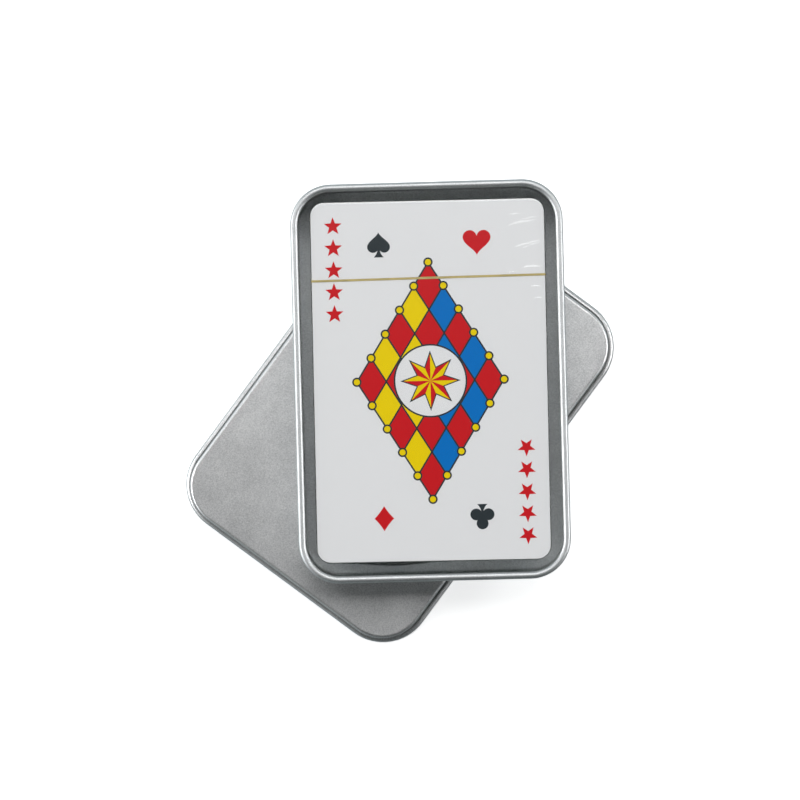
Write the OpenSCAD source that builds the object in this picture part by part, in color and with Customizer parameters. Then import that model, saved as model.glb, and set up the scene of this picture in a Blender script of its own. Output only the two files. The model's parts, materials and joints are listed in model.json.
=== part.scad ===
// A deck of playing cards sealed in clear film, in the tray of a two-piece slip-lid tin.
// The tray stands on its own lid, which lies face up and turned beneath it.
// +X runs across the tray, +Y runs along it to the cards' top edge, +Z is up from the table.

/* [Cards] */
// Width of a card
card_w = 57; // [45:0.5:70]
// Length of a card
card_l = 88; // [70:0.5:110]
// Thickness of a card
card_t = 0.29; // [0.2:0.01:0.4]
// Corner radius of a card
card_r = 3.2; // [1:0.1:6]
// Air between one card and the next
card_air = 0.005; // [0.005:0.005:0.05]
// How far a card may lie off the middle of the stack
card_stray = 0.05; // [0:0.01:0.2]

/* [Film and tear tape] */
// Thickness of the clear film
film_t = 0.1; // [0.05:0.01:0.2]
// Width of the tear tape
tape_w = 0.55; // [0.4:0.05:3]
// Thickness of the tear tape
tape_t = 0.05; // [0.03:0.01:0.1]
// Free space on each face of the tear tape
tape_fit = 0.03; // [0.02:0.01:0.1]
// Distance of the tear tape below the cards' top edge
tape_drop = 18.8; // [8:0.1:40]
// Slant of the tear tape across the cards, in degrees
tape_slant = 0.5; // [-1:0.1:1]

/* [Tray] */
// Thickness of the tinplate
sheet_t = 0.28; // [0.2:0.01:0.4]
// Gap between the wrapped cards and the tray's curled rim
deck_gap = 2.7; // [1.5:0.05:5]
// How far the wrapped cards lie from the tray's middle, towards its top end
deck_shift = 0.15; // [-0.9:0.05:0.9]
// Turn of the wrapped cards in the tray, in degrees
deck_turn = -0.3; // [-0.5:0.1:0.5]
// Height of the rim above the wrapped cards
rim_rise = 1.2; // [0.5:0.1:6]
// Outer radius of the rim's inward curl
rim_curl_r = 0.92; // [0.6:0.02:1.4]
// Outer radius of the tray's corners, seen from above
tray_corner_r = 10; // [6:0.5:14]
// Outer radius of the bend between the tray's floor and wall
floor_bend_r = 1.4; // [0.8:0.1:2.5]
// Gap under the wrapped cards
deck_seat = 0.02; // [0.01:0.01:0.1]

/* [Lid] */
// Height of the lid
lid_h = 10; // [6:0.5:16]
// Gap between the tray's wall and the lid's skirt when the tin is shut
slip_gap = 0.45; // [0.2:0.05:1]
// Outer radius of the bend between the lid's panel and skirt
edge_bend_r = 0.8; // [0.6:0.1:2.5]
// Outer radius of the skirt's outward curl
skirt_curl_r = 1.05; // [0.7:0.05:1.5]
// Depth of the flat land pressed under the skirt's curl
land_cut = 0.05; // [0.02:0.01:0.1]

/* [Standing] */
// Turn of the lid against the tray, in degrees
lid_turn = -37.9; // [-90:0.1:90]
// Place of the tray's middle from the lid's middle, across the cards
tray_x = 8.3; // [-12:0.1:12]
// Place of the tray's middle from the lid's middle, along the cards
tray_y = 8.5; // [-12:0.1:12]
// Gap between the tray's floor and the lid's panel
tray_seat = 0.05; // [0.02:0.01:0.2]

/* [Hidden] */
$fn = 96;

SUITS = ["spades", "hearts", "clubs", "diamonds"];
RANKS = [
    "ace", "two", "three", "four", "five", "six", "seven",
    "eight", "nine", "ten", "jack", "queen", "king"
];
// From the bottom of the stack to the top
CARDS = concat(
    [for (suit = SUITS) for (rank = RANKS) str(rank, "_of_", suit)],
    ["wild_card_plain", "wild_card_coloured"]
);

tin_colour = "silver";
card_colour = "white";
tape_colour = "goldenrod";
film_colour = [0.9, 0.95, 1.0];
film_alpha_share = 0.3;

// Each card strays on its own heading, turned by this many degrees from the last
stray_turn = 137.5;
quarter_turn = 90;
quarters = 4;

// Wrapped cards: the tape lies between the cards and the film, and the film follows the cards
deck_h = len(CARDS) * card_t + (len(CARDS) - 1) * card_air;
tape_reach = card_stray + tape_fit + tape_t;
wrap_gap = tape_reach + tape_fit;
wrap_rise = tape_t + 2 * tape_fit;
film_in_w = card_w + 2 * wrap_gap;
film_in_l = card_l + 2 * wrap_gap;
film_in_h = deck_h + 2 * wrap_rise;
pack_w = film_in_w + 2 * film_t;
pack_l = film_in_l + 2 * film_t;
pack_h = film_in_h + 2 * film_t;

// Tray: it leaves the same gap round the wrapped cards on all sides
tray_w = pack_w + 2 * deck_gap + 4 * rim_curl_r;
tray_l = pack_l + 2 * deck_gap + 4 * rim_curl_r;
tray_h = sheet_t + deck_seat + pack_h + rim_rise;

// Both tins share the straight stretches between their corners
straight_w = tray_w - 2 * tray_corner_r;
straight_l = tray_l - 2 * tray_corner_r;

// Lid: it slips over the tray
lid_corner_r = tray_corner_r + slip_gap + sheet_t;
lid_reach = lid_corner_r - sheet_t + 2 * skirt_curl_r;
panel_z = lid_h - sheet_t;

// Heights above the table
tray_z = lid_h + tray_seat;
pack_z = tray_z + sheet_t + deck_seat;
cards_z = pack_z + film_t + wrap_rise;

// The middle of the whole outline goes to the origin
lid_half_x = straight_w / 2 * abs(cos(lid_turn)) + straight_l / 2 * abs(sin(lid_turn)) + lid_reach;
lid_half_y = straight_w / 2 * abs(sin(lid_turn)) + straight_l / 2 * abs(cos(lid_turn)) + lid_reach;
middle_x = (min(-lid_half_x, tray_x - tray_w / 2) + max(lid_half_x, tray_x + tray_w / 2)) / 2;
middle_y = (min(-lid_half_y, tray_y - tray_l / 2) + max(lid_half_y, tray_y + tray_l / 2)) / 2;
lid_place = [-middle_x, -middle_y, 0];
tray_place = [tray_x - middle_x, tray_y - middle_y, tray_z];
deck_place = [tray_place[0], tray_place[1] + deck_shift];

// A rectangle with round corners, centred
module round_rect(w, l, r) {
    square([w - 2 * r, l], center = true);
    square([w, l - 2 * r], center = true);
    for (x = [-1, 1]) for (y = [-1, 1])
        translate([x * (w / 2 - r), y * (l / 2 - r)]) circle(r);
}

// A sheet bent round a full turn, with one quarter left open towards the given corner
module curl(r, open_x, open_y) {
    difference() {
        circle(r);
        circle(r - sheet_t);
        translate([min(0, open_x * r), min(0, open_y * r)]) square(r);
    }
}

// A sheet bent through a quarter turn, round the section's own corner
module bend(r) {
    intersection() {
        difference() {
            circle(r);
            circle(r - sheet_t);
        }
        square(r);
    }
}

// Carries a section round both tins; the section's x runs outwards from a corner's centre
module round_the_tin() {
    for (side = [0 : quarters - 1]) {
        across = side % 2 == 0 ? straight_w : straight_l;
        along = side % 2 == 0 ? straight_l : straight_w;
        rotate(side * quarter_turn) translate([across / 2, along / 2, 0]) {
            rotate_extrude(angle = quarter_turn) children();
            rotate([quarter_turn, 0, 0]) linear_extrude(along) children();
        }
    }
}

// The flat sheet between the corners' centres
module flat_middle(z) {
    translate([-straight_w / 2, -straight_l / 2, z]) cube([straight_w, straight_l, sheet_t]);
}

// Half of the tray, cut across its wall: floor, bend, wall and inward curl
module tray_section() {
    bend_x = tray_corner_r - floor_bend_r;
    square([bend_x, sheet_t]);
    translate([bend_x, floor_bend_r]) mirror([0, 1]) bend(floor_bend_r);
    translate([tray_corner_r - sheet_t, floor_bend_r])
        square([sheet_t, tray_h - rim_curl_r - floor_bend_r]);
    translate([tray_corner_r - rim_curl_r, tray_h - rim_curl_r]) curl(rim_curl_r, 1, -1);
}

// Half of the lid, cut across its skirt: panel, bend, skirt and outward curl
module lid_section() {
    bend_x = lid_corner_r - edge_bend_r;
    bend_z = lid_h - edge_bend_r;
    curl_z = skirt_curl_r - land_cut;
    translate([0, panel_z]) square([bend_x, sheet_t]);
    translate([bend_x, bend_z]) bend(edge_bend_r);
    translate([lid_corner_r - sheet_t, curl_z]) square([sheet_t, bend_z - curl_z]);
    translate([lid_corner_r - sheet_t + skirt_curl_r, curl_z]) difference() {
        curl(skirt_curl_r, -1, 1);
        translate([-skirt_curl_r, -skirt_curl_r]) square([2 * skirt_curl_r, land_cut]);
    }
}

// The slip lid, face up on the table
module lid() {
    color(tin_colour) translate(lid_place) rotate(lid_turn) {
        round_the_tin() lid_section();
        flat_middle(panel_z);
    }
}

// The open tray that holds the cards
module tray() {
    color(tin_colour) translate(tray_place) {
        round_the_tin() tray_section();
        flat_middle(0);
    }
}

// Puts the wrapped cards where they lie in the tray
module in_the_tray(z) {
    translate([deck_place[0], deck_place[1], z]) rotate(deck_turn) children();
}

// The clear film sealed all round the cards
module wrap_film() {
    color(film_colour, film_alpha_share) in_the_tray(pack_z) difference() {
        linear_extrude(pack_h) round_rect(pack_w, pack_l, card_r + wrap_gap + film_t);
        translate([0, 0, film_t])
            linear_extrude(film_in_h) round_rect(film_in_w, film_in_l, card_r + wrap_gap);
    }
}

// The tear tape, a band round the cards inside the film
module tear_tape() {
    band_w = card_w + 2 * tape_reach;
    band_h = deck_h + 2 * (tape_fit + tape_t);
    color(tape_colour) in_the_tray(cards_z + deck_h / 2)
        translate([0, card_l / 2 - tape_drop]) rotate(tape_slant) difference() {
            cube([band_w, tape_w, band_h], center = true);
            cube([band_w - 2 * tape_t, 2 * tape_w, band_h - 2 * tape_t], center = true);
        }
}

// One card at its place in the stack, counted from the bottom
module playing_card(place) {
    heading = place * stray_turn;
    stray = card_stray * [cos(heading), sin(heading)];
    color(card_colour) in_the_tray(cards_z + place * (card_t + card_air))
        translate(stray) linear_extrude(card_t) round_rect(card_w, card_l, card_r);
}

lid();
tray();
wrap_film();
tear_tape();
for (place = [0 : len(CARDS) - 1])
    playing_card(place);
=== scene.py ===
"""Looks of a deck of playing cards, sealed in clear film, in the tray of a slip-lid tin.

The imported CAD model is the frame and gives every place. Its two tins and its cards stay and are
dressed here. The top card gets its print, the deck gets its creased film and its tear tape, and a
pale floor, soft lights and a camera make the studio.
"""

import json
import logging
import math
from collections.abc import Sequence
from dataclasses import dataclass, field
from enum import Enum

import bmesh
import bpy
from mathutils import Matrix, Vector
from mathutils.geometry import delaunay_2d_cdt


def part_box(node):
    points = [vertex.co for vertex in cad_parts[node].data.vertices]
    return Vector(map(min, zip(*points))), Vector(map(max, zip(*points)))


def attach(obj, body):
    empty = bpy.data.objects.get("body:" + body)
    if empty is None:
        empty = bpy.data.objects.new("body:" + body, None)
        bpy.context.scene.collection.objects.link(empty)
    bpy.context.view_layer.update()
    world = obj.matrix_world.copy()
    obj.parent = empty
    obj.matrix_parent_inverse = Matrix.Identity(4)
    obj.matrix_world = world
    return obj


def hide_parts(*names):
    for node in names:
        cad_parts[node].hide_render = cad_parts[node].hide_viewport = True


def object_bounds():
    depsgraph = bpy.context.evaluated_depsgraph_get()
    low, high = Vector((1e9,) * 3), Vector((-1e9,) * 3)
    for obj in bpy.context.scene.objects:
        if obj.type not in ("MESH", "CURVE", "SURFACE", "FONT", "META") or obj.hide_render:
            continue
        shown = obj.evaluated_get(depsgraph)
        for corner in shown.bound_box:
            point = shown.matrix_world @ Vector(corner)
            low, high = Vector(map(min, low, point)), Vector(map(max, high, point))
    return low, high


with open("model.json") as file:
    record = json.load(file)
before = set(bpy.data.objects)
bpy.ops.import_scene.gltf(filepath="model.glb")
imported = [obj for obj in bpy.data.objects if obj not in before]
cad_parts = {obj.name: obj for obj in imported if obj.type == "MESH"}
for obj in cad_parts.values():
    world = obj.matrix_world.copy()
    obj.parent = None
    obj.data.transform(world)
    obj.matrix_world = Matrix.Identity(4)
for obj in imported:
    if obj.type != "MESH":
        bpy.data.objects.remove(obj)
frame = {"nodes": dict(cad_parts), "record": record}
CAD_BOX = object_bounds()

Point = tuple[float, float]
Loop = list[Point]
Colour = tuple[float, float, float, float]
Tree = bpy.types.NodeTree
Socket = bpy.types.NodeSocket
Form = bmesh.types.BMesh
Vert = bmesh.types.BMVert

log = logging.getLogger("deck")

# One millimetre in Blender's metres
MM = 0.001
QUARTER_TURN = math.radians(90)
FULL_TURN = math.radians(360)
# The wrapped cards lie turned by this much in the tray
DECK_TURN = math.radians(-0.3)
# A square's corners, anticlockwise
SQUARE = ((-1, -1), (1, -1), (1, 1), (-1, 1))
# Points nearer than this, in mm, are one point when an outline is filled
MERGE_MM = 1e-5
# The fill keeps the triangles inside the outlines and drops the rest
FILL_INSIDE = 1
# Sockets of the Mix node when it mixes colours
MIX_FACTOR, MIX_A, MIX_B, MIX_RESULT = 0, 6, 7, 2
# The largest value of two hex digits
HEX_FULL = 255
# The sRGB curve is straight up to its knee and a power above it
SRGB_KNEE, SRGB_SLOPE, SRGB_OFFSET, SRGB_POWER = 0.04045, 12.92, 0.055, 2.4


class Body(Enum):
    """The bodies of the CAD model."""

    LID = "lid"
    TRAY = "tray"
    PACK = "pack"

    @property
    def nodes(self) -> list[str]:
        """Gives the names of the body's CAD nodes."""
        return frame["record"]["behaviour"]["bodies"][self.value]


class Slot(Enum):
    """The names of the record's material slots, which nothing in the script uses."""

    CARD_STOCK = "card_stock"
    CLEAR_FILM = "clear_film"
    GOLD_TAPE = "gold_tape"


class Ink(Enum):
    """The printing inks on the top card, and the bare board between them."""

    BARE = "#E7E4E5"
    RED = "#CB1820"
    YELLOW = "#EDCE00"
    BLUE = "#0070BF"
    BLACK = "#30363A"


def linear(hex_code: str) -> Colour:
    """Turns an sRGB colour into the linear one that a shader takes.

    Args:
        hex_code: The colour as a hash mark and six hex digits.

    Returns:
        Linear red, green, blue and a full alpha.
    """
    shares = [int(hex_code[start:start + 2], 16) / HEX_FULL for start in (1, 3, 5)]
    red, green, blue = (
        share / SRGB_SLOPE
        if share <= SRGB_KNEE
        else ((share + SRGB_OFFSET) / (1 + SRGB_OFFSET)) ** SRGB_POWER
        for share in shares
    )
    return red, green, blue, 1.0


def add_node(
    tree: Tree,
    kind: str,
    settings: dict[str, object] | None = None,
    inputs: dict[str | int, object] | None = None,
) -> bpy.types.Node:
    """Adds one shader node with its settings and links.

    Args:
        tree: The node tree that gets the node.
        kind: The node's type, without the word ShaderNode in front.
        settings: The node's own properties by name.
        inputs: What goes into its sockets, by name or number. A socket is linked, a value is set.

    Returns:
        The new node.
    """
    node = tree.nodes.new("ShaderNode" + kind)
    for name, value in (settings or {}).items():
        setattr(node, name, value)
    for socket, value in (inputs or {}).items():
        if isinstance(value, Socket):
            tree.links.new(value, node.inputs[socket])
        else:
            node.inputs[socket].default_value = value
    return node


def per_metre(size_mm: float) -> float:
    """Returns the scale of a noise texture whose grains are about that wide."""
    return 1 / (size_mm * MM)


@dataclass(frozen=True)
class Finish:
    """A surface finish, which makes its material once and hands it out."""

    name: str

    def material(self) -> bpy.types.Material:
        """Makes the finish's material at the first call.

        Returns:
            The material.
        """
        made = bpy.data.materials.get(self.name)
        if made is None:
            made = bpy.data.materials.new(self.name)
            made.use_nodes = True
            made.node_tree.nodes.clear()
            surface = self.shade(made.node_tree)
            add_node(made.node_tree, "OutputMaterial", inputs={"Surface": surface})
        return made

    def shade(self, tree: Tree) -> Socket:
        """Adds the finish's nodes to a tree and returns the shader socket."""
        raise NotImplementedError


@dataclass(frozen=True)
class BlastedTinplate(Finish):
    """Tinplate, blasted matt and then drawn.

    The blast leaves a fine even grain that scatters light to a soft silver grey. The drawing tools rub
    bends and curls, so these have a roughness of their own.
    """

    name: str = "tinplate_blasted_and_drawn"
    silver: str = "#E8E8E8"
    pitted: str = "#B4B5B6"
    # Blast grit is finer than a pixel, so the grain is drawn as coarse as it needs to show
    grit_mm: float = 0.3
    grit_detail: float = 2.0
    grit_roughness: float = 0.7
    grit_depth_mm: float = 0.006
    cloud_mm: float = 7.0
    cloud_detail: float = 3.0
    cloud_share: float = 0.35
    # The sums of grit and cloud at which the metal is darkest and brightest
    pitted_at: float = 0.42
    silver_at: float = 0.93
    flat_roughness: float = 0.42
    bent_roughness: float = 0.43
    # The product of a normal's height and its lack of height is at most this
    bend_peak: float = 0.25

    def shade(self, tree: Tree) -> Socket:
        """Adds the finish's nodes.

        Args:
            tree: The node tree that gets them.

        Returns:
            The shader's socket.
        """
        place = add_node(tree, "TexCoord").outputs["Object"]
        grit = add_node(
            tree,
            "TexNoise",
            inputs={
                "Vector": place,
                "Scale": per_metre(self.grit_mm),
                "Detail": self.grit_detail,
                "Roughness": self.grit_roughness,
            },
        ).outputs["Fac"]
        cloud = add_node(
            tree,
            "TexNoise",
            inputs={"Vector": place, "Scale": per_metre(self.cloud_mm), "Detail": self.cloud_detail},
        ).outputs["Fac"]
        speckle = add_node(
            tree, "Math", {"operation": "MULTIPLY_ADD"}, {0: cloud, 1: self.cloud_share, 2: grit}
        ).outputs[0]
        tone = add_node(
            tree,
            "MapRange",
            inputs={"Value": speckle, "From Min": self.pitted_at, "From Max": self.silver_at},
        ).outputs["Result"]
        colour = add_node(
            tree,
            "Mix",
            {"data_type": "RGBA"},
            {MIX_FACTOR: tone, MIX_A: linear(self.pitted), MIX_B: linear(self.silver)},
        ).outputs[MIX_RESULT]
        normal = add_node(tree, "NewGeometry").outputs["Normal"]
        rise = add_node(tree, "SeparateXYZ", inputs={0: normal}).outputs["Z"]
        level = add_node(tree, "Math", {"operation": "SUBTRACT"}, {0: 1.0, 1: rise}).outputs[0]
        bend = add_node(tree, "Math", {"operation": "MULTIPLY"}, {0: rise, 1: level}).outputs[0]
        roughness = add_node(
            tree,
            "MapRange",
            inputs={
                "Value": bend,
                "From Max": self.bend_peak,
                "To Min": self.flat_roughness,
                "To Max": self.bent_roughness,
            },
        ).outputs["Result"]
        bump = add_node(
            tree,
            "Bump",
            inputs={"Strength": 1.0, "Distance": self.grit_depth_mm * MM, "Height": grit},
        ).outputs["Normal"]
        return add_node(
            tree,
            "BsdfPrincipled",
            inputs={"Base Color": colour, "Metallic": 1.0, "Roughness": roughness, "Normal": bump},
        ).outputs["BSDF"]


@dataclass(frozen=True)
class VarnishedBoard(Finish):
    """Playing card board, pressed smooth, printed in one ink and varnished.

    The varnish gives an even low gloss, the ink lies flat in it, and the cut edges show bare fibre.
    """

    ink: Ink = Ink.BARE
    fibre: str = "#D9D8D3"
    # Paper fibres are finer than a pixel, so the tooth is drawn as coarse as it needs to show
    tooth_mm: float = 0.35
    tooth_detail: float = 3.0
    tooth_depth_mm: float = 0.0012
    least_tone: float = 0.975
    most_tone: float = 1.015
    least_roughness: float = 0.18
    most_roughness: float = 0.25
    ior: float = 1.5

    def shade(self, tree: Tree) -> Socket:
        """Adds the finish's nodes.

        Args:
            tree: The node tree that gets them.

        Returns:
            The shader's socket.
        """
        place = add_node(tree, "TexCoord").outputs["Object"]
        tooth = add_node(
            tree,
            "TexNoise",
            inputs={"Vector": place, "Scale": per_metre(self.tooth_mm), "Detail": self.tooth_detail},
        ).outputs["Fac"]
        tone = add_node(
            tree,
            "MapRange",
            inputs={"Value": tooth, "To Min": self.least_tone, "To Max": self.most_tone},
        ).outputs["Result"]
        face = add_node(
            tree, "HueSaturation", inputs={"Value": tone, "Color": linear(self.ink.value)}
        ).outputs["Color"]
        normal = add_node(tree, "NewGeometry").outputs["Normal"]
        rise = add_node(tree, "SeparateXYZ", inputs={0: normal}).outputs["Z"]
        flat = add_node(tree, "Math", {"operation": "ABSOLUTE"}, {0: rise}).outputs[0]
        colour = add_node(
            tree,
            "Mix",
            {"data_type": "RGBA"},
            {MIX_FACTOR: flat, MIX_A: linear(self.fibre), MIX_B: face},
        ).outputs[MIX_RESULT]
        roughness = add_node(
            tree,
            "MapRange",
            inputs={"Value": tooth, "To Min": self.least_roughness, "To Max": self.most_roughness},
        ).outputs["Result"]
        bump = add_node(
            tree,
            "Bump",
            inputs={"Strength": 1.0, "Distance": self.tooth_depth_mm * MM, "Height": tooth},
        ).outputs["Normal"]
        return add_node(
            tree,
            "BsdfPrincipled",
            inputs={"Base Color": colour, "Roughness": roughness, "IOR": self.ior, "Normal": bump},
        ).outputs["BSDF"]


@dataclass(frozen=True)
class HeatSealedFilm(Finish):
    """Clear polypropylene film, drawn tight and heat sealed.

    It is all but invisible face on, and shows by the light on its folds, creases and round edges.
    """

    name: str = "polypropylene_film_clear"
    tint: str = "#FEFFFF"
    gloss: str = "#FFFFFF"
    face_on_gloss: float = 0.022
    # Schlick's rule for the gloss towards a grazing view
    schlick_power: float = 5.0
    # The blend of the layer weight that leaves the facing as it is
    plain_blend: float = 0.5
    ripple_mm: float = 9.0
    ripple_detail: float = 1.0
    ripple_depth_mm: float = 0.02
    roughness: float = 0.11

    def shade(self, tree: Tree) -> Socket:
        """Adds the finish's nodes.

        Args:
            tree: The node tree that gets them.

        Returns:
            The shader's socket.
        """
        place = add_node(tree, "TexCoord").outputs["Object"]
        ripple = add_node(
            tree,
            "TexNoise",
            inputs={"Vector": place, "Scale": per_metre(self.ripple_mm), "Detail": self.ripple_detail},
        ).outputs["Fac"]
        bump = add_node(
            tree,
            "Bump",
            inputs={"Strength": 1.0, "Distance": self.ripple_depth_mm * MM, "Height": ripple},
        ).outputs["Normal"]
        facing = add_node(tree, "LayerWeight", inputs={"Blend": self.plain_blend}).outputs["Facing"]
        grazing = add_node(
            tree, "Math", {"operation": "POWER"}, {0: facing, 1: self.schlick_power}
        ).outputs[0]
        share = add_node(
            tree, "MapRange", inputs={"Value": grazing, "To Min": self.face_on_gloss}
        ).outputs["Result"]
        clear = add_node(tree, "BsdfTransparent", inputs={"Color": linear(self.tint)}).outputs["BSDF"]
        shine = add_node(
            tree,
            "BsdfPrincipled",
            inputs={
                "Base Color": linear(self.gloss),
                "Metallic": 1.0,
                "Roughness": self.roughness,
                "Normal": bump,
            },
        ).outputs["BSDF"]
        return add_node(tree, "MixShader", inputs={0: share, 1: clear, 2: shine}).outputs["Shader"]


@dataclass(frozen=True)
class MetallisedTape(Finish):
    """Polyester tape with a vapour of aluminium under a gold lacquer.

    It shines like thin foil, a little uneven where it was stretched.
    """

    name: str = "polyester_tape_gold_metallised"
    bright: str = "#E5CE8E"
    dull: str = "#B3A272"
    stretch_mm: float = 2.5
    stretch_detail: float = 3.0
    roughness: float = 0.34

    def shade(self, tree: Tree) -> Socket:
        """Adds the finish's nodes.

        Args:
            tree: The node tree that gets them.

        Returns:
            The shader's socket.
        """
        place = add_node(tree, "TexCoord").outputs["Object"]
        stretch = add_node(
            tree,
            "TexNoise",
            inputs={"Vector": place, "Scale": per_metre(self.stretch_mm), "Detail": self.stretch_detail},
        ).outputs["Fac"]
        colour = add_node(
            tree,
            "Mix",
            {"data_type": "RGBA"},
            {MIX_FACTOR: stretch, MIX_A: linear(self.dull), MIX_B: linear(self.bright)},
        ).outputs[MIX_RESULT]
        return add_node(
            tree,
            "BsdfPrincipled",
            inputs={"Base Color": colour, "Metallic": 1.0, "Roughness": self.roughness},
        ).outputs["BSDF"]


@dataclass(frozen=True)
class OpalAcrylic(Finish):
    """Opal acrylic sheet, cast matt and lit softly from below.

    It makes a white floor that keeps only the closest shadows.
    """

    name: str = "acrylic_opal_cast_matt"
    light: str = "#F4F4F4"
    shade_tone: str = "#EFEFEF"
    glow: str = "#FFFFFF"
    glow_strength: float = 0.56
    cloud_mm: float = 60.0
    cloud_detail: float = 2.0
    roughness: float = 0.9

    def shade(self, tree: Tree) -> Socket:
        """Adds the finish's nodes.

        Args:
            tree: The node tree that gets them.

        Returns:
            The shader's socket.
        """
        place = add_node(tree, "TexCoord").outputs["Object"]
        cloud = add_node(
            tree,
            "TexNoise",
            inputs={"Vector": place, "Scale": per_metre(self.cloud_mm), "Detail": self.cloud_detail},
        ).outputs["Fac"]
        colour = add_node(
            tree,
            "Mix",
            {"data_type": "RGBA"},
            {MIX_FACTOR: cloud, MIX_A: linear(self.shade_tone), MIX_B: linear(self.light)},
        ).outputs[MIX_RESULT]
        return add_node(
            tree,
            "BsdfPrincipled",
            inputs={
                "Base Color": colour,
                "Roughness": self.roughness,
                "Emission Color": linear(self.glow),
                "Emission Strength": self.glow_strength,
            },
        ).outputs["BSDF"]


def make_piece(
    name: str, form: Form, finishes: Sequence[Finish], body: Body
) -> bpy.types.Object:
    """Turns a form into a piece that rides on a CAD body.

    Args:
        name: The piece's name.
        form: Its mesh in metres, in the frame, which is freed.
        finishes: Its finishes, in the order of the form's material numbers.
        body: The CAD body that it rides on.

    Returns:
        The new piece.
    """
    bmesh.ops.recalc_face_normals(form, faces=form.faces)
    mesh = bpy.data.meshes.new(name)
    form.to_mesh(mesh)
    form.free()
    for finish in finishes:
        mesh.materials.append(finish.material())
    piece = bpy.data.objects.new(name, mesh)
    bpy.context.scene.collection.objects.link(piece)
    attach(piece, body.value)
    log.info("piece %s: %d faces on body %s", name, len(mesh.polygons), body.value)
    return piece


def join_rings(form: Form, first: Sequence[Vert], second: Sequence[Vert], smooth: bool = False) -> None:
    """Joins two closed rings of points by a band of faces.

    Args:
        form: The mesh that gets the band.
        first: One ring.
        second: The other ring, which has as many points.
        smooth: Whether the band is shaded smooth.
    """
    for place, corner in enumerate(first):
        following = (place + 1) % len(first)
        quad = (corner, first[following], second[following], second[place])
        form.faces.new(quad).smooth = smooth


def dress_node(name: str, finish: Finish, sharp_angle: float) -> None:
    """Gives a CAD node its finish and smooth shading.

    Args:
        name: The node's name.
        finish: The finish that replaces its CAD material.
        sharp_angle: Edges that turn by more than this, in radians, stay sharp.
    """
    mesh = frame["nodes"][name].data
    mesh.materials.clear()
    mesh.materials.append(finish.material())
    mesh.shade_smooth()
    mesh.set_sharp_from_angle(angle=sharp_angle)
    log.info("node %s: %s", name, finish.name)


def round_rect(half_w: float, half_l: float, radius: float, steps: int) -> Loop:
    """Draws a centred rectangle with round corners.

    Args:
        half_w: Half its width.
        half_l: Half its length.
        radius: The radius of its corners.
        steps: How many straight steps make one corner.

    Returns:
        Its points, anticlockwise from the right.
    """
    loop = []
    for quarter, (side, end) in enumerate(((1, 1), (-1, 1), (-1, -1), (1, -1))):
        for step in range(steps + 1):
            angle = QUARTER_TURN * (quarter + step / steps)
            x = side * (half_w - radius) + radius * math.cos(angle)
            y = end * (half_l - radius) + radius * math.sin(angle)
            loop.append((x, y))
    return loop


def anticlockwise(loop: Loop) -> Loop:
    """Returns an outline's points anticlockwise, which the fill takes as its inside."""
    area = sum(a[0] * b[1] - b[0] * a[1] for a, b in zip(loop, loop[1:] + loop[:1]))
    return loop if area > 0 else loop[::-1]


def disc(centre: Point, radius: float, steps: int = 24) -> Loop:
    """Returns a circle's points, anticlockwise from the right."""
    angles = [FULL_TURN * step / steps for step in range(steps)]
    return [(centre[0] + radius * math.cos(a), centre[1] + radius * math.sin(a)) for a in angles]


def lozenge(centre: Point, half_w: float, half_h: float) -> Loop:
    """Returns an upright lozenge's four points, anticlockwise from the right."""
    x, y = centre
    return [(x + half_w, y), (x, y + half_h), (x - half_w, y), (x, y - half_h)]


def star(centre: Point, reach: float, notch_share: float, points: int, turned: bool = False) -> Loop:
    """Draws a star with one point up.

    Args:
        centre: Its middle.
        reach: From its middle to a point.
        notch_share: How far out its notches lie, as a share of the reach.
        points: How many points it has.
        turned: Whether it stands on its head.

    Returns:
        Its points and notches, anticlockwise from the upper point.
    """
    loop = []
    for step in range(2 * points):
        angle = QUARTER_TURN + FULL_TURN * step / (2 * points) + (math.pi if turned else 0)
        radius = reach if step % 2 == 0 else reach * notch_share
        loop.append((centre[0] + radius * math.cos(angle), centre[1] + radius * math.sin(angle)))
    return loop


@dataclass(frozen=True)
class DeckPlace:
    """Where a node of the turned deck lies: its middle and its half sizes, in mm."""

    middle: Vector
    half: Vector

    @classmethod
    def of_node(cls, name: str, corner_r: float) -> "DeckPlace":
        """Works out a node's own sizes from the box round it, which its turn makes larger.

        Args:
            name: The node's name.
            corner_r: The radius of its corners, in mm.

        Returns:
            The node's place.
        """
        low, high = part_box(name)
        reach = (high - low) / 2 / MM
        cosine, sine = math.cos(DECK_TURN), abs(math.sin(DECK_TURN))
        across, along = reach.x - corner_r, reach.y - corner_r
        half_w = corner_r + (across * cosine - along * sine) / (cosine**2 - sine**2)
        half_l = corner_r + (along * cosine - across * sine) / (cosine**2 - sine**2)
        return cls((low + high) / 2 / MM, Vector((half_w, half_l, reach.z)))

    def point(self, x: float, y: float, z: float) -> Vector:
        """Returns a point in metres, given in mm from the middle along the deck's own sides."""
        return (self.middle + Matrix.Rotation(DECK_TURN, 3, "Z") @ Vector((x, y, z))) * MM


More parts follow.
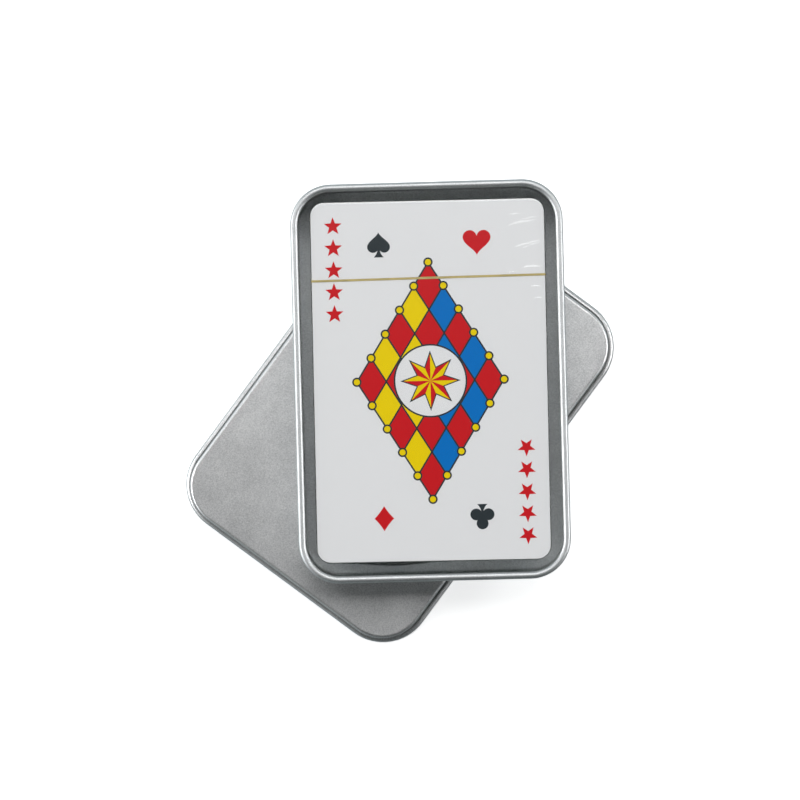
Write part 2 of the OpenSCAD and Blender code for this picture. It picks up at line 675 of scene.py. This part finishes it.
class Pip(Enum):
    """The four suits' pips, each drawn one unit high about its middle."""

    DIAMOND = "diamond"
    SPADE = "spade"
    HEART = "heart"
    CLUB = "club"

    @property
    def ink(self) -> Ink:
        """The suit's own ink."""
        return Ink.RED if self in (Pip.DIAMOND, Pip.HEART) else Ink.BLACK

    def outlines(self) -> list[Loop]:
        """Draws the pip.

        Returns:
            The outlines that together make it.
        """
        if self is Pip.DIAMOND:
            return [hollow_lozenge(half_w=0.39, half_h=0.5, bow=0.9)]
        if self is Pip.HEART:
            return [heart(height=1.0, middle=0.0)]
        foot = flared_foot(top=0.0, bottom=-0.5, stem=0.03, spread=0.2)
        if self is Pip.SPADE:
            leaf = [(-x, -y) for x, y in heart(height=0.82, middle=-0.09)]
            return [leaf, foot]
        leaf_r, leaf_out, leaf_down = 0.235, 0.24, 0.09
        core_half, core_up = 0.16, 0.02
        centres = ((0.0, 0.5 - leaf_r), (leaf_out, -leaf_down), (-leaf_out, -leaf_down))
        leaves = [disc(centre, leaf_r) for centre in centres]
        core = lozenge((0.0, core_up), core_half, core_half)
        return [*leaves, core, foot]


def hollow_lozenge(half_w: float, half_h: float, bow: float, steps: int = 32) -> Loop:
    """Draws a lozenge whose sides bow inwards a little.

    Args:
        half_w: Half its width.
        half_h: Half its height.
        bow: The power of its curve: 1 is straight, less bows inwards.
        steps: How many points it has.

    Returns:
        Its points, anticlockwise from the right.
    """
    loop = []
    for step in range(steps):
        angle = FULL_TURN * step / steps
        cosine, sine = math.cos(angle), math.sin(angle)
        x = half_w * math.copysign(abs(cosine) ** (2 / bow), cosine)
        y = half_h * math.copysign(abs(sine) ** (2 / bow), sine)
        loop.append((x, y))
    return loop


def heart(height: float, middle: float, steps: int = 40) -> Loop:
    """Draws a heart by the well-known sum of sines and cosines.

    Args:
        height: From its tip to the top of its lobes.
        middle: The height of its middle.
        steps: How many points it has.

    Returns:
        Its points, from the notch round to the notch.
    """
    # In the sum's own units the heart is this high, and its middle lies this far down
    own_height, own_middle = 29.0, -2.5
    # The weights of the sum's sine and of its cosines of one to four times the turn
    sine_weight, cosine_weights = 16.0, (13.0, -5.0, -2.0, -1.0)
    loop = []
    for step in range(steps):
        turn = FULL_TURN * step / steps
        x = sine_weight * math.sin(turn) ** 3
        y = sum(weight * math.cos(times * turn) for times, weight in enumerate(cosine_weights, start=1))
        loop.append((x * height / own_height, middle + (y - own_middle) * height / own_height))
    return loop


def flared_foot(top: float, bottom: float, stem: float, spread: float, steps: int = 8) -> Loop:
    """Draws a pip's foot, which flares downwards along a cubic curve.

    Args:
        top: The height of its narrow end.
        bottom: The height of its wide end.
        stem: Half its width at the top.
        spread: Half its width at the bottom.
        steps: How many straight steps make one side.

    Returns:
        Its points, anticlockwise.
    """
    shares = [step / steps for step in range(steps + 1)]
    left = [(-stem - (spread - stem) * s**3, top + (bottom - top) * s) for s in shares]
    return left + [(-x, y) for x, y in reversed(left)]


@dataclass(frozen=True)
class InkShape:
    """One printed shape: an outline in mm from the card's middle, and its ink."""

    ink: Ink
    loop: Loop


@dataclass
class CardFace:
    """The print on the top card, in mm from the card's middle.

    A harlequin lozenge with a star in its middle, the four pips round it, and a column of stars in two
    corners. It looks much the same either way up.
    """

    medal_half_w: float = 18.0
    medal_half_h: float = 29.0
    medal_cells: int = 5
    line: float = 0.4
    bead_r: float = 1.15
    hub_r: float = 8.6
    hub_steps: int = 64
    hub_star_reach: float = 7.4
    hub_star_points: int = 8
    hub_notch_share: float = 0.5
    corner_x: float = 23.1
    corner_top: float = 38.2
    corner_bottom: float = 16.7
    corner_stars: int = 5
    corner_star_points: int = 5
    corner_reach: float = 2.3
    star_notch_share: float = 0.42
    pip_x: float = 12.0
    pip_y: float = 33.5
    pip_h: float = 6.2
    shapes: list[InkShape] = field(default_factory=list)

    def draw(self) -> list[InkShape]:
        """Draws the whole print.

        Returns:
            Every printed shape, from the lowest ink to the highest.
        """
        self.shapes.clear()
        self.draw_corners()
        self.draw_pips()
        self.draw_medal()
        self.draw_hub()
        return self.shapes

    def print_shape(self, ink: Ink, loop: Loop) -> None:
        """Adds a shape on top of the print."""
        self.shapes.append(InkShape(ink, anticlockwise(loop)))

    def draw_corners(self) -> None:
        """Draws the two columns of stars."""
        pitch = (self.corner_top - self.corner_bottom) / (self.corner_stars - 1)
        for place in range(self.corner_stars):
            y = self.corner_top - place * pitch
            for side in (-1, 1):
                centre = (side * self.corner_x, -side * y)
                points = self.corner_star_points
                loop = star(centre, self.corner_reach, self.star_notch_share, points, turned=side > 0)
                self.print_shape(Ink.RED, loop)

    def draw_pips(self) -> None:
        """Draws one pip in each quarter of the card, the lower two upside down."""
        places = ((-1, 1), (1, 1), (1, -1), (-1, -1))
        for pip, (side, end) in zip((Pip.SPADE, Pip.HEART, Pip.CLUB, Pip.DIAMOND), places):
            for outline in pip.outlines():
                size = end * self.pip_h
                loop = [(side * self.pip_x + x * size, end * self.pip_y + y * size) for x, y in outline]
                self.print_shape(pip.ink, loop)

    def cell_ink(self, across: int) -> Ink:
        """Returns the ink of a lozenge cell by its column, counted from the middle one."""
        odd_ink = Ink.BLUE if across > 0 else Ink.YELLOW
        return odd_ink if across % 2 else Ink.RED

    def draw_medal(self) -> None:
        """Draws the harlequin lozenge, its lines and the beads along its edge."""
        cell_w = self.medal_half_w / self.medal_cells
        cell_h = self.medal_half_h / self.medal_cells
        # What half a line takes from a cell, as a share of the cell
        line_share = self.line / 2 * math.hypot(cell_w, cell_h) / (cell_w * cell_h)
        rim_share = 1 + line_share / self.medal_cells
        cell_share = 1 - line_share
        rim = lozenge((0.0, 0.0), self.medal_half_w * rim_share, self.medal_half_h * rim_share)
        self.print_shape(Ink.BLACK, rim)
        for i in range(self.medal_cells):
            for j in range(self.medal_cells):
                centre = ((i - j) * cell_w, (i + j + 1) * cell_h - self.medal_half_h)
                cell = lozenge(centre, cell_w * cell_share, cell_h * cell_share)
                self.print_shape(self.cell_ink(i - j), cell)
        for side in (-1, 1):
            for end in (-1, 1):
                for place in range(self.medal_cells):
                    share = place / self.medal_cells
                    out_share = share if side == end else 1 - share
                    x = side * out_share * self.medal_half_w
                    y = end * (1 - out_share) * self.medal_half_h
                    centre = (x, y)
                    self.print_shape(Ink.BLACK, disc(centre, self.bead_r))
                    self.print_shape(Ink.YELLOW, disc(centre, self.bead_r - self.line))

    def draw_hub(self) -> None:
        """Draws the round field in the middle and its faceted star."""
        middle = (0.0, 0.0)
        self.print_shape(Ink.BLACK, disc(middle, self.hub_r + self.line, self.hub_steps))
        self.print_shape(Ink.BARE, disc(middle, self.hub_r, self.hub_steps))
        rim = star(middle, self.hub_star_reach, self.hub_notch_share, self.hub_star_points)
        inset_share = 1 - 2 * self.line / self.hub_star_reach
        self.print_shape(Ink.BLACK, rim)
        facets = [(x * inset_share, y * inset_share) for x, y in rim]
        for place, corner in enumerate(facets):
            following = facets[(place + 1) % len(facets)]
            ink = Ink.RED if place % 2 == 0 else Ink.YELLOW
            self.print_shape(ink, [middle, corner, following])


@dataclass
class CardStack:
    """The cards: plain board under the top one, which carries the print."""

    top_node: str = "wild_card_coloured"
    corner_r: float = 3.2
    corner_steps: int = 10
    sharp_angle: float = math.radians(30)
    face: CardFace = field(default_factory=CardFace)

    def board(self, ink: Ink) -> VarnishedBoard:
        """Returns the board's finish in one ink."""
        return VarnishedBoard(name="card_board_varnished_" + ink.name.lower(), ink=ink)

    def dress(self, others: Sequence[str]) -> None:
        """Gives the bare cards their board.

        Args:
            others: The nodes of the pack that aren't cards.
        """
        for name in Body.PACK.nodes:
            if name not in others and name != self.top_node:
                dress_node(name, self.board(Ink.BARE), self.sharp_angle)

    def build(self) -> None:
        """Builds the printed top card, whose inks are faces of their own."""
        place = DeckPlace.of_node(self.top_node, self.corner_r)
        outline = round_rect(place.half.x, place.half.y, self.corner_r, self.corner_steps)
        shapes = [InkShape(Ink.BARE, outline), *self.face.draw()]
        inks = list(Ink)
        corners: list[Vector] = []
        polygons: list[list[int]] = []
        for shape in shapes:
            polygons.append(list(range(len(corners), len(corners) + len(shape.loop))))
            corners.extend(Vector(point) for point in shape.loop)
        points, _, triangles, _, _, sources = delaunay_2d_cdt(
            corners, [], polygons, FILL_INSIDE, MERGE_MM
        )
        form = bmesh.new()
        tops = [form.verts.new(place.point(p.x, p.y, place.half.z)) for p in points]
        for triangle, covers in zip(triangles, sources):
            face = form.faces.new([tops[corner] for corner in triangle])
            face.material_index = inks.index(shapes[max(covers)].ink)
        rim = [edge for edge in form.edges if edge.is_boundary]
        drawn = bmesh.ops.extrude_edge_only(form, edges=rim)["geom"]
        feet = [item for item in drawn if isinstance(item, Vert)]
        bmesh.ops.translate(form, verts=feet, vec=(0, 0, -2 * place.half.z * MM))
        bmesh.ops.contextual_create(form, geom=[edge for edge in form.edges if edge.is_boundary])
        for face in form.faces:
            if any(vert in feet for vert in face.verts):
                face.material_index = inks.index(Ink.BARE)
        finishes = [self.board(ink) for ink in inks]
        card = make_piece("printed_top_card", form, finishes, Body.PACK)
        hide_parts(self.top_node)


@dataclass(frozen=True)
class Crease:
    """A soft ridge pressed into the top of the film, in mm from the deck's middle."""

    start: Point
    run: float
    lean_degrees: float
    half_width: float = 0.6
    rise: float = 0.12
    steps: int = 10
    # The places of its folds across it, as shares of its half width
    fold_shares: tuple[float, ...] = (-1.0, -0.75, -0.5, -0.25, 0.0, 0.25, 0.5, 0.75, 1.0)

    @property
    def along(self) -> Vector:
        """Gives the direction it runs in."""
        lean = math.radians(self.lean_degrees)
        return Vector((math.cos(lean), math.sin(lean)))

    @property
    def across(self) -> Vector:
        """Gives the direction square to its run."""
        return self.along.orthogonal()

    def rise_at(self, point: Vector) -> float:
        """Works out its height over one place.

        Args:
            point: The place, in mm from the deck's middle.

        Returns:
            The height, which is 0 beside it.
        """
        offset = point - Vector(self.start)
        share = offset.dot(self.along) / self.run
        if not 0 < share < 1:
            return 0.0
        swell = math.sin(math.pi * share)
        out = offset.dot(self.across) / (self.half_width * swell)
        return self.rise * swell * math.cos(QUARTER_TURN * out) ** 2 if abs(out) < 1 else 0.0

    def net(self) -> tuple[list[Vector], list[tuple[int, int]]]:
        """Works out the net of folds that makes it.

        Returns:
            The net's points, and pairs of their numbers, one for each fold.
        """
        start = Vector(self.start)
        points = [start, start + self.along * self.run]
        chains: list[list[int]] = [[0] for _ in self.fold_shares]
        for step in range(1, self.steps):
            share = step / self.steps
            middle = start + self.along * self.run * share
            reach = self.half_width * math.sin(math.pi * share)
            for chain, out in zip(chains, self.fold_shares):
                chain.append(len(points))
                points.append(middle + self.across * reach * out)
        folds: list[tuple[int, int]] = []
        for chain in chains:
            chain.append(1)
            folds.extend(zip(chain, chain[1:]))
        return points, folds


@dataclass(frozen=True)
class Slack:
    """A hump of loose film on a folded end, in mm."""

    stand_off: float
    middle: float
    spread: float
    depth: float = 5.0

    def at(self, x: float, drop: float) -> float:
        """Works out how far the film stands off the cards.

        Args:
            x: The place across the deck.
            drop: The place's depth below the film's top edge.

        Returns:
            The distance.
        """
        down = min(1.0, max(0.0, drop / self.depth))
        bulge = math.sin(math.pi * math.sqrt(down))
        return self.stand_off * bulge * math.exp(-(((x - self.middle) / self.spread) ** 2))


@dataclass
class FilmWrap:
    """The creased film round the cards and the tear tape under it. Sizes are in mm."""

    film_node: str = "wrap_film"
    tape_node: str = "tear_tape"
    corner_r: float = 3.46
    corner_steps: int = 10
    sheet: float = 0.05
    edge_r: float = 0.3
    edge_steps: int = 6
    shoulder: float = 0.9
    shoulder_drop: float = 0.02
    wall_steps: int = 8
    # One hump of loose film on the lower end and one on the upper end
    slacks: dict[int, Slack] = field(
        default_factory=lambda: {-1: Slack(1.0, -10.0, 8.0), 1: Slack(0.25, 6.0, 9.0)}
    )
    slack_steps: int = 36
    flap_room: float = 0.08
    flap_sheet: float = 0.03
    flap_off: float = 0.02
    flap_gap: float = 0.2
    flap_rows: int = 10
    seam_w: float = 6.0
    tape_w: float = 0.55
    tape_sheet: float = 0.03
    tape_slant_degrees: float = 0.5
    tape_depth: float = 0.08
    creases: tuple[Crease, ...] = (
        Crease((19.4, 37.4), 7.4, 11.0, 0.65, 0.13),
        Crease((23.0, 38.9), 3.8, 9.0, 0.35, 0.05),
        Crease((20.7, 32.0), 6.0, 14.0, 0.5, 0.1),
        Crease((23.0, 31.9), 4.8, 17.0, 0.45, 0.1),
        Crease((25.0, 33.2), 2.6, 8.0, 0.35, 0.08),
        Crease((22.6, 27.1), 5.2, 3.4, 0.6, 0.12),
        Crease((19.2, 26.1), 2.4, -1.3, 0.35, 0.04),
        Crease((24.4, 22.5), 3.6, -1.0, 0.45, 0.08),
        Crease((25.4, 19.6), 2.6, 1.6, 0.4, 0.07),
        Crease((19.8, 40.2), 3.2, -1.3, 0.45, 0.05),
    )
    place: DeckPlace = field(init=False)

    def __post_init__(self) -> None:
        """Takes the film's place and size from the frame."""
        self.place = DeckPlace.of_node(self.film_node, self.corner_r)

    def build(self) -> None:
        """Builds the film and the tape."""
        self.build_film()
        self.build_tape()

    @property
    def edge_z(self) -> float:
        """Gives the height above the film's middle at which its round top edge becomes its wall."""
        return self.place.half.z - self.shoulder_drop - self.edge_r

    def vert(self, form: Form, x: float, y: float, z: float) -> Vert:
        """Adds a point given in mm from the film's middle."""
        return form.verts.new(self.place.point(x, y, z))

    def edge_section(self, depth: float) -> list[tuple[float, float]]:
        """Works out the film's section from its top to its bottom.

        Args:
            depth: How far inside the outer face it lies.

        Returns:
            Pairs of inset from the outline and height above the film's middle.
        """
        radius = self.edge_r - depth
        section = [(self.shoulder, self.place.half.z - depth)]
        for step in range(self.edge_steps + 1):
            angle = QUARTER_TURN * step / self.edge_steps
            inset = self.edge_r - radius * math.sin(angle)
            section.append((inset, self.edge_z + radius * math.cos(angle)))
        inset, wall_top = section[-1]
        shares = [1 - 2 * step / self.wall_steps for step in range(1, self.wall_steps)]
        wall = [(inset, wall_top * share) for share in shares]
        return section + wall + [(inset, -height) for inset, height in reversed(section)]

    def outline(self, inset: float, height: float) -> Loop:
        """Draws the film's outline at one height.

        Args:
            inset: How far it lies inside the film's box.
            height: Its height above the film's middle.

        Returns:
            Its points, anticlockwise, with the slack of its two folded ends.
        """
        half_w = self.place.half.x - inset
        half_l = self.place.half.y - self.flap_room - inset
        flat_w = self.place.half.x - self.corner_r
        corners = round_rect(half_w, half_l, self.corner_r - inset, self.corner_steps)
        quarter = self.corner_steps + 1
        places = [flat_w * (2 * step / self.slack_steps - 1) for step in range(1, self.slack_steps)]
        drop = self.edge_z - height
        ends = {
            end: [(-end * x, end * (half_l + slack.at(-end * x, drop))) for x in places]
            for end, slack in self.slacks.items()
        }
        right, left, rest = corners[:quarter], corners[quarter:3 * quarter], corners[3 * quarter:]
        return right + ends[1] + left + ends[-1] + rest

    def skin(self, form: Form, depth: float) -> None:
        """Adds one face of the film, closed all round.

        Args:
            form: The mesh that gets it.
            depth: How far inside the outer face it lies.
        """
        outlines = [(self.outline(inset, height), height) for inset, height in self.edge_section(depth)]
        rings = [[self.vert(form, x, y, height) for x, y in outline] for outline, height in outlines]
        for upper, lower in zip(rings, rings[1:]):
            join_rings(form, upper, lower, smooth=True)
        form.faces.new(rings[-1])
        self.creased_top(form, outlines[0][0], rings[0], depth)

    def creased_top(self, form: Form, outline: Loop, ring: list[Vert], depth: float) -> None:
        """Fills the top of the film, with its creases.

        Args:
            form: The mesh that gets it.
            outline: The outline of the section's first ring.
            ring: The points of that ring.
            depth: How far inside the outer face it lies.
        """
        corners = [Vector(point) for point in outline]
        folds: list[tuple[int, int]] = []
        border = list(range(len(corners)))
        for crease in self.creases:
            points, edges = crease.net()
            folds.extend((a + len(corners), b + len(corners)) for a, b in edges)
            corners.extend(points)
        points, _, triangles, sources, _, _ = delaunay_2d_cdt(
            corners, folds, [border], FILL_INSIDE, MERGE_MM
        )
        top = self.place.half.z - depth
        verts = []
        for point, origins in zip(points, sources):
            on_ring = [origin for origin in origins if origin < len(ring)]
            if on_ring:
                verts.append(ring[on_ring[0]])
            else:
                rise = max(crease.rise_at(point) for crease in self.creases)
                verts.append(self.vert(form, point.x, point.y, top + rise))
        for triangle in triangles:
            form.faces.new([verts[corner] for corner in triangle]).smooth = True

    def flap(self, form: Form, end: int, heights: Sequence[float]) -> None:
        """Adds one folded flap, which follows the slack of the film under it.

        Args:
            form: The mesh that gets it.
            end: Which end: -1 is the lower one, 1 is the upper one.
            heights: The heights of its rows of points, from its root to its tip.
        """
        flat_w = self.place.half.x - self.corner_r
        half_l = self.place.half.y - self.flap_room
        slack = self.slacks[end]
        shares = [2 * step / self.slack_steps - 1 for step in range(self.slack_steps + 1)]
        sides = []
        for out in (self.flap_off, self.flap_off + self.flap_sheet):
            rows = []
            for height in heights:
                half_w = flat_w - abs(heights[0] - height)
                row = []
                for share in shares:
                    reach = half_l + out + slack.at(half_w * share, self.edge_z - height)
                    row.append(self.vert(form, half_w * share, end * reach, height))
                rows.append(row)
            sides.append(rows)
        for rows in sides:
            for upper, lower in zip(rows, rows[1:]):
                for place in range(self.slack_steps):
                    quad = (upper[place], upper[place + 1], lower[place + 1], lower[place])
                    form.faces.new(quad).smooth = True
        near, far = (
            rows[0]
            + [row[-1] for row in rows[1:]]
            + rows[-1][-2::-1]
            + [row[0] for row in rows[-2:0:-1]]
            for rows in sides
        )
        join_rings(form, near, far)

    def end_flaps(self, form: Form) -> None:
        """Adds the two folded flaps on each short end, which meet half way down.

        Args:
            form: The mesh that gets them.
        """
        fall = self.flap_gap / 2 - self.edge_z
        shares = [step / self.flap_rows for step in range(self.flap_rows + 1)]
        for end in (-1, 1):
            for side in (-1, 1):
                self.flap(form, end, [side * (self.edge_z + fall * share) for share in shares])

    def side_seam(self, form: Form) -> None:
        """Adds the sealed overlap along one long side.

        Args:
            form: The mesh that gets it.
        """
        flat_l = self.place.half.y - self.corner_r
        near, far = (
            [self.vert(form, x, side * flat_l, end * self.seam_w / 2) for side, end in SQUARE]
            for x in (-self.place.half.x, -self.place.half.x - self.flap_sheet)
        )
        form.faces.new(near)
        form.faces.new(far[::-1])
        join_rings(form, near, far)

    def build_film(self) -> None:
        """Builds the film: two faces, folded ends and a seam."""
        form = bmesh.new()
        self.skin(form, 0.0)
        self.skin(form, self.sheet)
        self.end_flaps(form)
        self.side_seam(form)
        film = make_piece("creased_film", form, [HeatSealedFilm()], Body.PACK)
        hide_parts(self.film_node)

    def build_tape(self) -> None:
        """Builds the tear tape, a band that follows the inside of the film."""
        low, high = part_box(self.tape_node)
        away = (low + high) / 2 / MM - self.place.middle
        place_y = (Matrix.Rotation(-DECK_TURN, 3, "Z") @ away).y
        slant = Matrix.Rotation(math.radians(self.tape_slant_degrees), 3, "Z")
        form = bmesh.new()
        bands = []
        for depth in (self.tape_depth, self.tape_depth + self.tape_sheet):
            loop = round_rect(
                self.place.half.x - depth,
                self.place.half.z - self.shoulder_drop - depth,
                self.edge_r - depth,
                self.edge_steps,
            )
            for side in (-1, 1):
                corners = [slant @ Vector((x, side * self.tape_w / 2, z)) for x, z in loop]
                bands.append([self.vert(form, c.x, c.y + place_y, c.z) for c in corners])
        outer_near, outer_far, inner_near, inner_far = bands
        around = (outer_near, outer_far, inner_far, inner_near, outer_near)
        for first, second in zip(around, around[1:]):
            join_rings(form, first, second)
        tape = make_piece("gold_tear_tape", form, [MetallisedTape()], Body.PACK)
        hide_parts(self.tape_node)


@dataclass
class SlipLidTin:
    """The two drawn tins, which keep their CAD shape and get their finish."""

    lid_finish: BlastedTinplate = BlastedTinplate()
    # The tray is drawn deeper than the lid, which spreads its grain and makes it rougher. Its tone is a
    # little brighter than the lid's: painted light that brightens the deep gaps round the cards
    tray_painted_light_finish: BlastedTinplate = BlastedTinplate(
        name="tinplate_blasted_tray_painted_light", silver="#EDF0F1", pitted="#C7CACB", flat_roughness=0.52
    )
    # The tray's rim takes a greyer tone than the rest of the tray: painted shade that dims the
    # highlights on its curl
    rim_painted_shade_finish: BlastedTinplate = BlastedTinplate(
        name="tinplate_blasted_rim_painted_shade", silver="#D5D7D8", pitted="#B3B5B6", flat_roughness=0.52
    )
    # The height of the rim's curl, in mm
    rim_depth: float = 1.84
    sharp_angle: float = math.radians(35)

    def dress(self) -> None:
        """Gives both tins their matt tinplate, and the tray's rim a greyer tone, painted shade on its
        curl.
        """
        for body, finish in ((Body.LID, self.lid_finish), (Body.TRAY, self.tray_painted_light_finish)):
            for name in body.nodes:
                dress_node(name, finish, self.sharp_angle)
        for name in Body.TRAY.nodes:
            self.paint_rim_shade(name)

    def paint_rim_shade(self, name: str) -> None:
        """Gives the curled rim of a node a greyer tone of its own, painted shade that dims its
        highlights.

        Args:
            name: The node's name.
        """
        tin = frame["nodes"][name]
        rim_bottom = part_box(name)[1].z - self.rim_depth * MM
        rim_place = len(tin.data.materials)
        tin.data.materials.append(self.rim_painted_shade_finish.material())
        # Faces above the foot of the curl take the greyer tinplate, painted shade on the rim
        for face in tin.data.polygons:
            if (tin.matrix_world @ face.center).z > rim_bottom:
                face.material_index = rim_place
        log.info("rim of %s: %s", name, self.rim_painted_shade_finish.name)


@dataclass(frozen=True)
class SoftBox:
    """A soft box that faces the object. Its place is a compass heading and a height in degrees."""

    name: str
    heading: float
    height: float
    distance: float
    width: float
    tall: float
    radiance: float

    def place(self, target: Vector) -> None:
        """Sets the soft box up.

        Args:
            target: The point that it faces.
        """
        heading, height = math.radians(self.heading), math.radians(self.height)
        away = Vector(
            (
                math.sin(heading) * math.cos(height),
                math.cos(heading) * math.cos(height),
                math.sin(height),
            )
        )
        lamp = bpy.data.lights.new(self.name, "AREA")
        lamp.shape = "RECTANGLE"
        lamp.size = self.width
        lamp.size_y = self.tall
        lamp.energy = math.pi * self.width * self.tall * self.radiance
        holder = bpy.data.objects.new(self.name, lamp)
        holder.location = target + away * self.distance
        holder.rotation_euler = away.to_track_quat("Z", "Y").to_euler()
        holder.visible_camera = False
        bpy.context.scene.collection.objects.link(holder)
        log.info("light %s", self.name)


@dataclass
class Studio:
    """The pale floor, the soft light and the camera. Lengths are in metres unless they say mm."""

    floor_half: float = 6.0
    zenith: float = 0.045
    # The low sky and the ground are brighter towards this heading than away from it
    bright_heading: float = -30.0
    low_sky: tuple[float, float] = (0.12, 0.9)
    # The height, as a share of the zenith's, at which the low sky has faded
    low_sky_top: float = 0.6
    # Metal sees this ground instead of the floor, as on a small light table
    ground: tuple[float, float] = (0.2, 1.05)
    ground_edge: float = -0.02
    sky: str = "#E0EDF0"
    boxes: tuple[SoftBox, ...] = (
        SoftBox("back_box", 0, 63, 1.5, 1.3, 0.8, 4.2),
        SoftBox("left_box", 270, 24, 1.5, 1.4, 0.55, 7.2),
        SoftBox("right_box", 90, 24, 1.5, 1.4, 0.55, 5.8),
    )
    eye_mm: tuple[float, float, float] = (14.59, 9.51, 685.6)
    turn_degrees: tuple[float, float, float] = (-0.495, 1.192, -1.53)
    lens_mm: float = 121.31
    sensor_mm: float = 36.0
    clip_near: float = 0.02

    def build(self) -> None:
        """Sets up the whole studio."""
        self.lay_floor()
        self.light_sky()
        for soft_box in self.boxes:
            soft_box.place(Vector((0, 0, 0)))
        self.set_camera()

    def lay_floor(self) -> None:
        """Lays the floor level with the lowest point of the object."""
        level = CAD_BOX[0][2]
        form = bmesh.new()
        reach = self.floor_half
        form.faces.new([form.verts.new((x * reach, y * reach, level)) for x, y in SQUARE])
        mesh = bpy.data.meshes.new("studio_floor")
        form.to_mesh(mesh)
        form.free()
        mesh.materials.append(OpalAcrylic().material())
        floor = bpy.data.objects.new("studio_floor", mesh)
        floor.visible_glossy = False
        bpy.context.scene.collection.objects.link(floor)

    def light_sky(self) -> None:
        """Sets a plain sky, dark overhead, with a grey ground under it."""
        world = bpy.data.worlds.new("studio_sky")
        world.use_nodes = True
        tree = world.node_tree
        tree.nodes.clear()
        heading = add_node(tree, "TexCoord").outputs["Generated"]
        height = add_node(tree, "SeparateXYZ", inputs={0: heading}).outputs["Z"]
        bright = math.radians(self.bright_heading)
        brightward = add_node(
            tree,
            "VectorMath",
            {"operation": "DOT_PRODUCT"},
            {0: heading, 1: (math.sin(bright), math.cos(bright), 0.0)},
        ).outputs["Value"]
        low_sky, ground = (
            add_node(
                tree,
                "MapRange",
                inputs={"Value": brightward, "From Min": -1.0, "To Min": least, "To Max": most},
            ).outputs["Result"]
            for least, most in (self.low_sky, self.ground)
        )
        above = add_node(
            tree,
            "MapRange",
            inputs={
                "Value": height,
                "From Max": self.low_sky_top,
                "To Min": low_sky,
                "To Max": self.zenith,
            },
        ).outputs["Result"]
        strength = add_node(
            tree,
            "MapRange",
            inputs={
                "Value": height,
                "From Min": self.ground_edge,
                "From Max": 0.0,
                "To Min": ground,
                "To Max": above,
            },
        ).outputs["Result"]
        sky = add_node(
            tree, "Background", inputs={"Color": linear(self.sky), "Strength": strength}
        ).outputs["Background"]
        add_node(tree, "OutputWorld", inputs={"Surface": sky})
        bpy.context.scene.world = world

    def set_camera(self) -> None:
        """Sets the camera almost straight above the deck, as the photograph was taken."""
        lens = bpy.data.cameras.new("studio_camera")
        lens.sensor_width = self.sensor_mm
        lens.lens = self.lens_mm
        lens.clip_start = self.clip_near
        camera = bpy.data.objects.new("studio_camera", lens)
        camera.location = Vector(self.eye_mm) * MM
        camera.rotation_euler = [math.radians(turn) for turn in self.turn_degrees]
        bpy.context.scene.collection.objects.link(camera)
        bpy.context.scene.camera = camera
        bpy.context.scene.view_settings.view_transform = "Standard"


def main() -> None:
    """Builds the studio, dresses the CAD nodes and builds the pieces."""
    logging.basicConfig(level=logging.INFO, format="%(message)s")
    Studio().build()
    SlipLidTin().dress()
    wrap = FilmWrap()
    cards = CardStack()
    cards.dress(others=(wrap.film_node, wrap.tape_node))
    cards.build()
    wrap.build()


if __name__ == "__main__":
    main()
